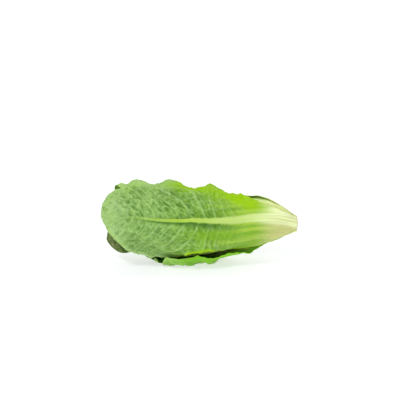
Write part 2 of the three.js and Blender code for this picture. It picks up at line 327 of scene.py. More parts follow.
# Thickness of blade and foot, the air between leaves, and the midrib. Spans are by share of
# the leaf's length, unless they say otherwise.
BLADE = 1.1
FOOT = 1.8
FOOT_THINS = (0, 0.35)
AIR = 3
FOOT_AIR = 0.5
AIR_WIDENS = (0, 6)  # by station
RIB_RISE = 3.4
RIB_SINKS = (0.1, 0.95)
RIB_FOOT = 13  # half width of the midrib at the foot, and at the tip
RIB_TIP = 1.6
RIB_NARROWS = 0.6
RIB_CREST = 1.15
RIB_SIDE = (0.3, 0.95)  # by share of the midrib's half width
RIB_SHOULDER = 15
EDGE_WAVE = 0.03  # how far each side's width varies in waves, and how many there are
EDGE_WAVES = 7
EDGE_WAVES_FROM = (0.2, 0.5)
TIP_END = 0.1  # share of its width that a leaf still has where it ends

# How a leaf lies over the edges of those inside it.
DRAPE = 0.35  # share of its thickness that a leaf still takes up where it has ended
DRAPE_REACH = 18  # how far past its edge the next leaf comes down to that
EDGE_SKIRT = 3  # how far past its edge a leaf takes up its full thickness
TIP_SKIRT = 0.45  # the same past its tip, by station
FULL_SKIRT = 22  # the head's radius below which reach and edge skirt shrink
CLOSE_IN = 0.9  # how many stations in front of its foot a leaf begins to take up room
FOOT_GAP = 0.03  # and takes up all of it
BEYOND_TIP = (0.1, 1)  # where it stops taking up room past its tip, by station
AVERAGE_OVER = 36  # directions round the axis

# How free parts stand out: the waved edge, the open tip and the lowest leaf's flap.
RUFFLE = 4.5
WAVES = 5.5
WAVES_ACROSS = (0.5, 1)
WAVES_SHARPNESS = 1.5
WAVES_FROM = (0.15, 0.35)
WAVES_UNTIL = (0.85, 1)
TUCK_FROM = (0.61, 0.67)
TUCK_UNTIL = (0.71, 0.82)
LIFT = 6
LIFT_FROM = (0.72, 1)
LIFT_SHARPNESS = 1.3
FLAP_FULL = math.radians(22)  # how far round from straight down the flap lies flat, and ends
FLAP_END = math.radians(40)

# The spot that the head's weight presses flat, by station and by angle round the axis.
LIFT_FADE = 45  # how far up leaves move with the lowest one, in mm
SAG_SPAN = (3.9, 4.6, 7.3, 8.4)
SAG_EARLIER = 1.6
SAG_BEHIND = (math.radians(-112), math.radians(-84))
SAG_MIDDLE = math.radians(-99)
SAG_ROUND = (math.radians(19), math.radians(34))
SAG_ROUND_BEHIND = (math.radians(10), math.radians(48))


def lerp(a, b, t):
    """a where t is 0, b where it is 1."""
    return a + (b - a) * t


def vary(i, prime):
    """A number from -0.5 to 0.5 for leaf i, the same each time."""
    return (i + 1) * math.sqrt(prime) % 1 - 0.5


def turn(angle):
    """The same direction as an angle from minus half a turn to half a turn."""
    return (angle + np.pi) % (2 * np.pi) - np.pi


def edge(widths, shoulder=0.7, bluntness=2.3):
    """One side's half widths, as (share of the length, degrees), and how its tip rounds off."""
    return dict(widths=widths, shoulder=shoulder, bluntness=bluntness)


def usual(full):
    """Half widths from the foot's to the full one at mid-length."""
    return ((0.05, 58), (0.5, full))


# Leaf 0 is the lowest and outermost. Each starts and ends at a station. Its low side is the
# one at smaller angles round the axis, and its high side the one at larger angles. lift is
# how far its tip stands open, flap how much of its free side lies on the surface, ruffle how
# far the edge waves and phase where its waves begin. steady evens out the waves of the low
# side, tuck holds them in near the crown, and sweep is how the midrib strays from the leaf's
# middle, as (share of the length, mm).
leaves = [
    dict(
        index=i,
        angle=FIRST_LEAF + i * TWIST + (0 if i < CUT_LEAVES else ANGLE_VARIES * vary(i, 2)),
        start=0 if i < CUT_LEAVES else ATTACH_FIRST + (i - CUT_LEAVES) * ATTACH_STEP,
        end=TIP_STATION - TIP_VARIES * abs(vary(i, 3)) - TIP_SHORTENS * max(0, i - SHORTER_FROM),
        low=edge(usual(HALF_WIDTH + WIDTH_VARIES * vary(i, 5))),
        high=edge(usual(HALF_WIDTH + WIDTH_VARIES * vary(i, 7))),
        lift=LIFT,
        flap=0,
        ruffle=RUFFLE,
        phase=PHASE_VARIES * vary(i, 11),
        steady=0,
        tuck=0,
        sweep=((0, 0), (1, 0)),
    )
    for i in range(LEAF_COUNT)
]
leaves[0].update(
    end=10.6,
    lift=8,
    flap=1,
    low=edge(((0.05, 60), (0.5, 80))),
    high=edge(((0.13, 33), (0.29, 61), (0.42, 63), (0.52, 64), (0.59, 76), (0.65, 71),
               (0.73, 22), (0.83, 22), (0.89, 36)), shoulder=0.86, bluntness=1.6),
)
leaves[1].update(
    end=11.45,
    lift=0,
    ruffle=8.5,
    phase=-0.69,
    steady=0.85,
    tuck=0.6,
    low=edge(((0.2, 84), (0.44, 50), (0.505, 50), (0.565, 77), (0.68, 86), (0.77, 80),
              (0.92, 50)), shoulder=0.76, bluntness=1.3),
    high=edge(((0, 36), (0.08, 30), (0.45, 84)), shoulder=0.76),
    sweep=((0, 0), (0.22, 0), (0.3, -2), (0.41, -1.5), (0.5, 0), (0.66, -3.7),
           (0.8, -4), (0.85, -6), (0.9, -14), (1, -20)),
)
leaves[2].update(
    end=10.1,
    lift=13,
    low=edge(((0.05, 44), (0.5, 80)), shoulder=0.75),
    high=edge(((0.05, 60), (0.5, 82))),
)
leaves[3].update(end=10.4, lift=0)


def width_at(widths, a):
    """A width from a list of (share, degrees), passing smoothly from each to the next."""
    width = widths[0][1]
    for (start, _), (until, following) in zip(widths, widths[1:]):
        width = lerp(width, following, smoothstep(a, start, until))
    return np.radians(width)


def half_angle(leaf, off, station, skirt=0.0):
    """Half the leaf's width at a station, on the side of it that off is on."""
    a = np.clip((station - leaf["start"]) / (leaf["end"] + skirt - leaf["start"]), 0, 1)
    sides = []
    for side in (leaf["low"], leaf["high"]):
        width = width_at(side["widths"], a)
        t = np.maximum(0, (a - side["shoulder"]) / (1 - side["shoulder"]))
        wave = np.sin(2 * np.pi * EDGE_WAVES * a + leaf["phase"])
        wave = 1 + EDGE_WAVE * wave * smoothstep(a, *EDGE_WAVES_FROM)
        narrow = np.sqrt(np.maximum(0, 1 - t ** side["bluntness"]))
        sides.append(width * wave * (TIP_END + (1 - TIP_END) * narrow))
    return np.where(off < 0, sides[0], sides[1])


def blade_thickness(a):
    """In mm, at a share of the leaf's length."""
    return lerp(FOOT, BLADE, smoothstep(a, *FOOT_THINS))


def rib_half(a):
    """Half the midrib's width in mm, at a share of the leaf's length."""
    return lerp(RIB_FOOT, RIB_TIP, np.clip(a, 0, 1) ** RIB_NARROWS)


def rib_rise(a):
    """How far the midrib stands up from the blade, in mm."""
    return RIB_RISE * (1 - smoothstep(a, *RIB_SINKS))


def share_of(leaf, station):
    """How far along the leaf a station is: 0 at its foot, 1 at its tip."""
    return (station - leaf["start"]) / (leaf["end"] - leaf["start"])


def attached(leaf, station):
    """0 nearer the butt than the leaf's foot, 1 from the foot on."""
    if leaf["start"] == 0:
        return np.ones_like(station)
    return smoothstep(station, max(0, leaf["start"] - CLOSE_IN), leaf["start"] - FOOT_GAP)


def cover(leaf, station, angle):
    """1 on the leaf and a little round it, falling smoothly to 0 further out."""
    off = turn(angle - leaf["angle"])
    radius = along(OUTLINE, station)[1]
    past = (np.abs(off) - half_angle(leaf, off, station, TIP_SKIRT)) * radius
    skirt = np.maximum(1e-6, np.minimum(1, radius / FULL_SKIRT))
    beside = smoothstep(past, EDGE_SKIRT * skirt, (EDGE_SKIRT + DRAPE_REACH) * skirt)
    beyond = smoothstep(station, *(leaf["end"] + past_tip for past_tip in BEYOND_TIP))
    return (1 - beside) * (1 - beyond) * attached(leaf, station)


def room(leaf, station, angle):
    """How much of the head's radius the leaf takes up at this place, before scaling."""
    a = share_of(leaf, station)
    beside = np.abs(turn(angle - leaf["angle"])) * along(OUTLINE, station)[1]
    rib = rib_rise(a) * (1 - smoothstep(beside, rib_half(a), rib_half(a) + RIB_SHOULDER))
    air = FOOT_AIR + (AIR - FOOT_AIR) * smoothstep(station, *AIR_WIDENS)
    covered = cover(leaf, station, angle)
    felt = DRAPE + (1 - DRAPE) * covered
    return (blade_thickness(a) + air) * felt * attached(leaf, station) + rib * covered


# The room between core and outline is shared out among the leaves: by how much, at each
# tenth of a station, as a mean over the whole way round.
tenths = np.arange(10 * STATIONS + 1)[:, None] / 10 + np.zeros((1, AVERAGE_OVER))
round_head = 2 * np.pi * np.arange(AVERAGE_OVER)[None] / AVERAGE_OVER + np.zeros_like(tenths)
stack = sum(room(leaf, tenths, round_head) for leaf in leaves).mean(1)
outer_x, outer_r, _ = along(OUTLINE, tenths[:, 0])
inner_x, inner_r = along(CORE, tenths[:, 0])
SCALES = np.hypot(outer_x - inner_x, outer_r - inner_r) / stack


def scale_at(station):
    """How much the stack of leaves is drawn out or pressed together at a station."""
    return np.interp(station * 10, np.arange(len(SCALES)), SCALES)


def freedom(leaf, station, angle):
    """1 where nothing covers the leaf, 0 under the leaves outside it."""
    free = np.ones_like(station)
    for outside in leaves[: leaf["index"]]:
        free = free * (1 - cover(outside, station, angle))
    return free


def stand_out(leaf, station, across, angle, free):
    """How far a free part stands out: waves, an open tip, and the lowest leaf's flap."""
    a = share_of(leaf, station)
    near_edge = smoothstep(np.abs(across), *WAVES_ACROSS) ** WAVES_SHARPNESS
    waving = smoothstep(a, *WAVES_FROM) * (1 - smoothstep(a, *WAVES_UNTIL)) * near_edge
    wave = 0.5 + 0.5 * np.sin(2 * np.pi * WAVES * a + leaf["phase"] + np.sign(across))
    wave = np.where(across < 0, lerp(wave, 1, leaf["steady"]), wave)
    crownward = smoothstep(a, *TUCK_FROM) * (1 - smoothstep(a, *TUCK_UNTIL))
    held = np.where(across < 0, 1 - leaf["tuck"] * crownward, 1)
    opened = smoothstep(a, *LIFT_FROM) ** LIFT_SHARPNESS
    out = leaf["ruffle"] * waving * wave * held + leaf["lift"] * opened
    if leaf["flap"]:
        past = np.clip(turn(angle + np.pi / 2), 0, FLAP_END)
        flat = leaf["flap"] * (1 - smoothstep(past, FLAP_FULL, FLAP_END))
        out = out + flat * along(OUTLINE, station)[1] * (1 / np.cos(past) - 1)
    return out * free


def leaf_places(leaf, station, across, thin=0.0, jag=0.0):
    """The leaf's inner and outer faces at these places, as points round the head's axis."""
    angle = leaf["angle"] + across * half_angle(leaf, across, station) + jag
    core_x, core_r = along(CORE, station)
    out_x, out_r, rise = along(OUTLINE, station)
    reach = np.hypot(out_x - core_x, out_r - core_r)
    a = share_of(leaf, station)
    beside = turn(angle - leaf["angle"]) * out_r - np.interp(a, *zip(*leaf["sweep"]))
    rib_side = smoothstep(np.abs(beside) / rib_half(a), *RIB_SIDE)
    rib = RIB_CREST * rib_rise(a) * (1 - rib_side)
    fit = scale_at(station)
    thick = (blade_thickness(a) + rib) * np.minimum(1, fit)
    inside = (room(other, station, angle) for other in leaves[leaf["index"] + 1:])
    depth = sum(inside, 0 * station)
    free = freedom(leaf, station, angle)
    inner = depth * fit + STEM_CLEAR + stand_out(leaf, station, across, angle, free)
    faces = []
    for height in (inner + thin * thick, inner + thick):
        out = height / reach
        radius = core_r + (out_r - core_r) * out
        faces.append(np.stack([-(core_x + (out_x - core_x) * out), -radius * np.cos(angle),
                               radius * np.sin(angle) + rise], -1))
    return faces, angle, free, beside


def rest_on_surface(points, leaf, station, angle):
    """The head's weight presses the lowest leaf flat, and those above it settle with it."""
    lowest = leaves[0]
    off = turn(angle - lowest["angle"])
    place = off / half_angle(lowest, off, station)
    under = leaf_places(lowest, station, np.clip(place, -1, 1))[0][1][..., 2]
    move = -AXIS_HEIGHT - under
    z = points[..., 2]
    settled = z + move * np.clip(1 - (z - under) / LIFT_FADE, 0, 1)
    sag_from, sag_full, sag_until, sag_end = SAG_SPAN
    sag_from = sag_from - SAG_EARLIER * (1 - smoothstep(angle, *SAG_BEHIND))
    sets_in = smoothstep(station, sag_from, sag_full)
    lengthwise = sets_in * (1 - smoothstep(station, sag_until, sag_end))
    beyond_middle = turn(angle - SAG_MIDDLE)
    round_it = 1 - np.where(beyond_middle > 0, smoothstep(beyond_middle, *SAG_ROUND),
                            smoothstep(-beyond_middle, *SAG_ROUND_BEHIND))
    sagged = z + move * lengthwise * round_it if leaf is lowest else z
    beyond = (np.abs(place) > 1) | (station > lowest["end"])
    z = np.where(beyond, np.maximum(z, -AXIS_HEIGHT), np.where(move > 0, settled, sagged))
    return np.concatenate([points[..., :2], z[..., None]], -1)


EDGE_BLADE = 0.55  # share of the blade's thickness that is gone at its edge
EDGE_TAPER = 5
EDGE_THINS_FROM = (0.1, 0.25)
JAG = 0.5  # how far the edge strays in and out
JAG_WAVE = 9
JAG_ACROSS = (0.72, 1)
JAG_FROM = (0.08, 0.25)
JAG_UNTIL = (0.68, 0.82)
JAG_SEED = 40
SMALLEST_RADIUS = 4
RIB_MASK = (0.38, 0.85)  # where the blade's relief begins, by share of the midrib's half width
CROWD_ENDS = 0.35  # rows of points lie closer at foot and tip, and columns in the middle
CROWD_MIDDLE = 1.08


def wander(rng, length, wave, count=9):
    """A smooth random line along a leaf, mostly from -1 to 1, in waves of about wave mm."""
    total = np.zeros_like(length)
    for _ in range(count):
        crest = wave * rng.uniform(0.6, 1.7)
        total += np.sin(length * 2 * np.pi / crest + rng.uniform(0, 6.3))
    return total / math.sqrt(count)


def outward_from(face, angle):
    """The direction straight out of the leaf at each point of a face."""
    outward = np.cross(np.gradient(face, axis=1), np.gradient(face, axis=0))
    from_axis = np.stack([np.zeros_like(angle), -np.cos(angle), np.sin(angle)], -1)
    outward *= np.where((outward * from_axis).sum(-1) < 0, -1, 1)[..., None]
    return outward / np.maximum(1e-9, np.linalg.norm(outward, axis=-1))[..., None]


def sheet_faces(rows, columns):
    """Quads over an outer and an inner face of (rows, columns), and round their rim."""
    count = (rows + 1) * (columns + 1)
    number = np.arange(count).reshape(rows + 1, columns + 1)
    p, q, r, t = (number[:-1, :-1], number[:-1, 1:], number[1:, :-1], number[1:, 1:])
    outer = np.stack([p, q, t, r], -1).reshape(-1, 4)
    inner = np.stack([p, r, t, q], -1).reshape(-1, 4) + count
    rim = np.concatenate([number[0, :-1], number[:-1, -1], number[-1, :0:-1], number[:0:-1, 0]])
    after = np.roll(rim, -1)
    return np.concatenate([outer, inner, np.stack([rim, rim + count, after + count, after], -1)])


def note(piece, **values):
    """Keeps a number or a direction for each point of the mesh, for nodes to read."""
    for name, array in values.items():
        is_vector = array.ndim == 2
        kind = "FLOAT_VECTOR" if is_vector else "FLOAT"
        kept = piece.data.attributes.new(name, kind, "POINT")
        kept.data.foreach_set("vector" if is_vector else "value", array.astype(np.float32).ravel())


def leaf_piece(name, leaf, rows, columns, jag=JAG):
    """The leaf's closed mesh, with what its nodes need to know about every point."""
    rng = np.random.default_rng(JAG_SEED + leaf["index"])
    s = np.linspace(0, 1, rows + 1)
    a = lerp(s, (1 - np.cos(np.pi * s)) / 2, CROWD_ENDS)
    c = np.linspace(-1, 1, columns + 1)
    crowded = np.sign(c) * np.abs(c) ** CROWD_MIDDLE
    a, across = np.meshgrid(a, crowded, indexing="ij")
    station = lerp(leaf["start"], leaf["end"], a)
    length = (station - leaf["start"]) * STATION_MM
    radius = np.maximum(SMALLEST_RADIUS, along(OUTLINE, station)[1])
    strays = np.where(across < 0, wander(rng, length, JAG_WAVE), wander(rng, length, JAG_WAVE))
    reach = smoothstep(np.abs(across), *JAG_ACROSS) * smoothstep(a, *JAG_FROM)
    reach = reach * (1 - smoothstep(a, *JAG_UNTIL))
    shift = np.sign(across) * jag * strays * reach / radius
    from_side = (1 - np.abs(across)) * half_angle(leaf, across, station) * radius
    from_tip = (1 - a) * (leaf["end"] - leaf["start"]) * STATION_MM
    from_edge = np.minimum(from_side, from_tip)
    thin = EDGE_BLADE * (1 - smoothstep(from_edge, 0, EDGE_TAPER))
    thin = thin * smoothstep(a, *EDGE_THINS_FROM)
    (inner, outer), angle, free, beside = leaf_places(leaf, station, across, thin, shift)
    faces = [rest_on_surface(face, leaf, station, angle) for face in (outer, inner)]
    outward = outward_from(faces[0], angle)
    points = np.concatenate([face.reshape(-1, 3) for face in faces])
    points += (CUT_FACE_X, MIDDLE_Y, AXIS_HEIGHT)
    piece = make_mesh(name, points * MM, sheet_faces(rows, columns))
    rib = 1 - smoothstep(np.abs(beside) / rib_half(a), *RIB_MASK)
    known = dict(share=a, along_mm=length, beside_mm=beside, edge_mm=from_edge, free=free, rib=rib)
    note(piece, **{key: np.tile(value.ravel(), 2) for key, value in known.items()})
    note(piece, outer_side=np.repeat([1.0, 0.0], a.size))
    note(piece, outward=np.tile(outward.reshape(-1, 3), (2, 1)))
    return piece


# The relief's inputs. Lengths are in mm.
RELIEF_SIZES = {
    "Vein spacing": 15.0,
    "Vein rise": 0.8,
    "Pucker size": 12.0,
    "Pucker depth": 2.0,
    "Crumple size": 7.0,
    "Crumple": 1.2,
    "Swell": 1.5,
    "Ruffle": 1.3,
    "Ruffle length": 16.0,
    "Ruffle reach": 15.0,
    "Seed": 0.0,
}
SEED_STRIDE = 7.31  # how far apart two seeds lie in the noise
# Each part of the relief begins or ends over a span of the leaf's length, in mm.
SLANT_TURNS = (30, 110)
SLANT_LEANS = (120, 190)
VEINS_FROM = (50, 120)
PUCKERS_FROM = (70, 150)
CRUMPLE_FROM = (60, 140)
SWELL_FROM = (25, 90)
FIBRES_UNTIL = (55, 130)
RUFFLES_FROM = (40, 90)
RUFFLES_FADE = (0.7, 0.84)  # by share of the length
# It sinks towards the edge, over these spans in mm from it.
VEINS_EDGE = (2, 14)
PUCKERS_EDGE = (1, 13)
CRUMPLE_EDGE = (0, 10)
# The size of the clouds that vary it, in mm.
STRAY_SIZE = 34
MINOR_STRAY_SIZE = 9
PUCKERED_SIZE = 30
SWELL_SIZE = 24
RUFFLE_STRAY_SIZE = 26
RUFFLED_SIZE = 19
# How far they shift the veins, in mm, and the ruffles, in radians.
VEIN_STRAY = 11
MINOR_STRAY = 5
RUFFLE_STRAY = 12
# The form of the veins and fibres.
VEIN_STAGGER = 4  # half of how far the veins of one side are set on from the other's
VEIN_WIDTH = 0.17  # half a vein's width, as a share of how far apart the veins are
MINOR_WIDTH = 0.3
MINOR_SPACING = 0.34  # of the vein spacing
MINOR_RISE = 0.35  # of the vein rise, as that of the net
NET_RISE = 0.4
FIBRE_SPACING = 3.1
FIBRE_WIDTH = 0.42
FIBRE_RISE = 0.3
COVERED = 0.35  # share of the relief that is left where other leaves press on the blade
OUTER_FLOOR = 0.0001  # the lowest that the outer and the inner face may lie, in metres
INNER_FLOOR = 0.0008


def read(tree, name, kind="FLOAT"):
    """What was noted for each point of the mesh."""
    node = put(tree, "GeometryNodeInputNamedAttribute", data_type=kind)
    node.inputs["Name"].default_value = name
    return node.outputs["Attribute"]


def relief_tree():
    """Raised veins, the puckers between them, and the small ruffles of a free edge."""
    tree = bpy.data.node_groups.new("leaf_relief", "GeometryNodeTree")
    sockets = tree.interface
    sockets.new_socket(name="Geometry", in_out="INPUT", socket_type="NodeSocketGeometry")
    identifiers = {}
    for name, value in RELIEF_SIZES.items():
        socket = sockets.new_socket(name=name, in_out="INPUT", socket_type="NodeSocketFloat")
        socket.default_value = value
        identifiers[name] = socket.identifier
    finish = sockets.new_socket(name="Finish", in_out="INPUT", socket_type="NodeSocketMaterial")
    identifiers["Finish"] = finish.identifier
    sockets.new_socket(name="Geometry", in_out="OUTPUT", socket_type="NodeSocketGeometry")
    given = put(tree, "NodeGroupInput").outputs
    length, beside, rim = read(tree, "along_mm"), read(tree, "beside_mm"), read(tree, "edge_mm")
    free, rib = read(tree, "free"), read(tree, "rib")
    aside = reckon(tree, "ABSOLUTE", beside)
    clear = reckon(tree, "SUBTRACT", 1, rib)
    seed = reckon(tree, "MULTIPLY", given["Seed"], SEED_STRIDE)

    def at(x, y, size):
        """The place on the blade, in units of size, for a pattern."""
        inputs = {"X": reckon(tree, "DIVIDE", x, size), "Y": reckon(tree, "DIVIDE", y, size)}
        return put(tree, "ShaderNodeCombineXYZ", {**inputs, "Z": seed}).outputs[0]

    def cloud(x, y, size, detail=2):
        return grain(tree, at(x, y, size), scale=1, detail=detail, rough=0.5)

    def ridge(value, spacing, width):
        """1 on a line every spacing, falling to 0 over width, a share of the spacing."""
        part = reckon(tree, "FRACT", reckon(tree, "DIVIDE", value, spacing))
        from_line = reckon(tree, "ABSOLUTE", reckon(tree, "SUBTRACT", part, 0.5))
        return step(tree, from_line, 0, width, 1, 0)

    # A vein leaves the midrib almost along it near the foot, straight out in the middle of
    # the leaf, and forward to the tip beyond that.
    slant = reckon(tree, "ADD", step(tree, length, *SLANT_TURNS, 3.0, 0.25),
                   step(tree, length, *SLANT_LEANS, 0, 0.65))
    stray = cloud(length, beside, STRAY_SIZE)
    stray = reckon(tree, "MULTIPLY_ADD", stray, VEIN_STRAY, -VEIN_STRAY / 2)
    path = reckon(tree, "SUBTRACT", length, reckon(tree, "MULTIPLY", slant, aside))
    path = reckon(tree, "ADD", path, stray)
    path = reckon(tree, "MULTIPLY_ADD", reckon(tree, "SIGN", beside), VEIN_STAGGER, path)
    main = ridge(path, given["Vein spacing"], VEIN_WIDTH)
    minor_path = cloud(length, beside, MINOR_STRAY_SIZE)
    minor_path = reckon(tree, "MULTIPLY_ADD", minor_path, MINOR_STRAY, path)
    minor_spacing = times(tree, given["Vein spacing"], MINOR_SPACING)
    minor = ridge(minor_path, minor_spacing, MINOR_WIDTH)
    strength = times(tree, clear, step(tree, rim, *VEINS_EDGE, 0.25, 1),
                     step(tree, length, *VEINS_FROM, 0.35, 1))
    veins = times(tree, reckon(tree, "MULTIPLY_ADD", minor, MINOR_RISE, main), strength)

    # Between the veins the blade puckers into cells, with a net of small veins round them.
    cell = put(tree, "ShaderNodeTexVoronoi", {
        "Vector": at(path, beside, given["Pucker size"]), "Scale": 1, "Randomness": 0.9,
    }, feature="DISTANCE_TO_EDGE").outputs["Distance"]
    puckered = times(tree, step(tree, length, *PUCKERS_FROM), clear,
                     step(tree, cloud(length, beside, PUCKERED_SIZE), 0.38, 0.6, 0.12, 1),
                     step(tree, rim, *PUCKERS_EDGE, 0.05, 1))
    hollow = times(tree, step(tree, cell, 0.03, 0.36), puckered, step(tree, beside, -8, 4, 0.6, 1))
    net = times(tree, step(tree, cell, 0.0, 0.1, 1, 0), puckered)

    # Finer crumples lie over them, and the whole blade swells and sinks a little.
    crumpled = grain(tree, at(length, beside, given["Crumple size"]), scale=1, rough=0.6)
    crinkled = times(tree, clear, step(tree, length, *CRUMPLE_FROM),
                     step(tree, rim, *CRUMPLE_EDGE, 0.2, 1))
    crumple = times(tree, reckon(tree, "MULTIPLY_ADD", crumpled, 4, -2), crinkled)
    pits = times(tree, step(tree, crumpled, 0.34, 0.5, 1, 0), crinkled)
    wide = reckon(tree, "MULTIPLY_ADD", cloud(length, beside, SWELL_SIZE, detail=1), 2, -1)
    swell = times(tree, clear, step(tree, length, *SWELL_FROM), wide)

    # Fibres run the length of the foot.
    line = reckon(tree, "MULTIPLY_ADD", stray, 0.08, beside)
    fibres = times(tree, ridge(line, FIBRE_SPACING, FIBRE_WIDTH),
                   step(tree, length, *FIBRES_UNTIL, 1, 0))

    # A free edge ruffles, less in some places than in others.
    turns = reckon(tree, "DIVIDE", times(tree, length, 2 * math.pi), given["Ruffle length"])
    waves = cloud(length, beside, RUFFLE_STRAY_SIZE)
    waves = reckon(tree, "MULTIPLY_ADD", waves, RUFFLE_STRAY, turns)
    loose = times(tree, step(tree, rim, 0, given["Ruffle reach"], 1, 0),
                  step(tree, length, *RUFFLES_FROM))
    ruffled = step(tree, cloud(length, aside, RUFFLED_SIZE, detail=1), 0.38, 0.62, 0.1, 1)
    loose = times(tree, loose, free, ruffled,
                  step(tree, read(tree, "share"), *RUFFLES_FADE, 1, 0.05))
    ruffle = times(tree, reckon(tree, "SINE", waves), loose)

    height = times(tree, given["Vein rise"], reckon(tree, "MULTIPLY_ADD", net, NET_RISE, veins))
    height = reckon(tree, "SUBTRACT", height, times(tree, given["Pucker depth"], hollow))
    height = reckon(tree, "MULTIPLY_ADD", crumple, given["Crumple"], height)
    height = reckon(tree, "MULTIPLY_ADD", fibres, FIBRE_RISE, height)
    height = reckon(tree, "MULTIPLY_ADD", swell, given["Swell"], height)
    height = times(tree, height, step(tree, free, 0, 1, COVERED, 1))
    height = reckon(tree, "MULTIPLY_ADD", ruffle, given["Ruffle"], height)
    lift = put(tree, "ShaderNodeVectorMath", {
        0: read(tree, "outward", "FLOAT_VECTOR"), "Scale": times(tree, height, MM),
    }, operation="SCALE").outputs[0]
    moved = put(tree, "GeometryNodeSetPosition", {"Geometry": given["Geometry"], "Offset": lift})

    # Nothing goes below the surface that the head lies on, and the inner face stays higher
    # than the outer one.
    here = put(tree, "GeometryNodeInputPosition").outputs[0]
    spot = put(tree, "ShaderNodeSeparateXYZ", {0: here}).outputs
    lowest = reckon(tree, "MULTIPLY_ADD", read(tree, "outer_side"),
                    OUTER_FLOOR - INNER_FLOOR, INNER_FLOOR)
    above = put(tree, "ShaderNodeCombineXYZ", {
        "X": spot[0], "Y": spot[1], "Z": reckon(tree, "MAXIMUM", spot[2], lowest),
    }).outputs[0]
    laid = put(tree, "GeometryNodeSetPosition", {"Geometry": moved.outputs[0], "Position": above})
    flow = laid.outputs[0]
    # The veins are kept for the finish to paint pale, and the hollows and pits for it to paint
    # shade into.
    veined = reckon(tree, "MAXIMUM", veins, times(tree, net, 0.6))
    hollow_shade = reckon(tree, "MAXIMUM", hollow, times(tree, pits, 0.7))
    for name, value in (("vein", veined), ("hollow", hollow_shade)):
        node = put(tree, "GeometryNodeStoreNamedAttribute", {"Geometry": flow, "Name": name},
                   data_type="FLOAT", domain="POINT")
        tree.links.new(value, node.inputs["Value"])
        flow = node.outputs[0]
    flow = put(tree, "GeometryNodeRealizeInstances", {"Geometry": flow}).outputs[0]
    painted = put(tree, "GeometryNodeSetMaterial", {"Geometry": flow, "Material": given["Finish"]})
    put(tree, "NodeGroupOutput", {"Geometry": painted.outputs[0]})
    return tree, identifiers


RELIEF, RELIEF_INPUTS = relief_tree()


def raise_veins(piece, finish, **sizes):
    """Runs the relief on a leaf and keeps the result as its plain mesh."""
    modifier = piece.modifiers.new("relief", "NODES")
    modifier.node_group = RELIEF
    modifier[RELIEF_INPUTS["Finish"]] = finish
    for name, value in sizes.items():
        modifier[RELIEF_INPUTS[name.replace("_", " ").capitalize()]] = float(value)
    bpy.context.view_layer.update()
    ready = piece.evaluated_get(bpy.context.evaluated_depsgraph_get())
    finished = bpy.data.meshes.new_from_object(ready)
    piece.modifiers.remove(modifier)
    piece.data = finished
    finished.attributes.remove(finished.attributes["outward"])


# Where a leaf's colours begin and end, by share of its length.
UPPER_GREEN = (0.44, 0.72)
BLOOM_FROM = (0.76, 0.95)
PALE_RIM_FROM = (0.5, 0.68)
PALE_RIM_FADES = (0.8, 0.94)
FLESH_ENDS = (0.02, 0.28)
CREAM_ENDS = (-0.13, 0.05)
ALL_CREAM = (0.05, 0.22)
MARGIN_WIDENS = (0.12, 0.42)
MARGIN_FADES = (0.5, 0.66)
STRIPE_FROM = (0.22, 0.36)
STRIPE_UNTIL = (0.42, 0.6)
CREASE_FROM = (0.22, 0.42)
CREASE_FADES = (0.62, 0.8)
RIB_GREENS = (0.05, 0.3)
RIB_FULL_GREEN = (0.3, 0.6)
RIB_FADES = (0.5, 0.86)
RIB_THINS = (0.3, 0.66)
TAN_ENDS = (0.02, 0.26)
INNER_FROM = (0.25, 0.5)
FOOT_SKIN = (0.1, 0.45)
# And by mm beside the midrib, from the cut, or in from the edge.
SIDE_BLEND = (-6, 6)  # where the low side passes into the high one
FOOT_SIDES = (-14, -3)
PALE_RIM_REACH = (11, 38)  # on the low and the high side
CUT_BROWNED = (0.3, 4)
RIB_DRAWN = 0.6  # how much of the midrib's width is drawn pale in the upper half
RIB_PAINTED = (0.4, 0.85)  # by share of the midrib's half width, as the crease is
CREASE_INNER = (0.65, 1.0)
CREASE_OUTER = (1.2, 2.6)
STREAK_LENGTH = 0.022  # how far streaks are drawn out along the leaf: less is longer
DRIED_TAN = paint(198, 178, 104)
CUT_BROWN = paint(196, 180, 142)


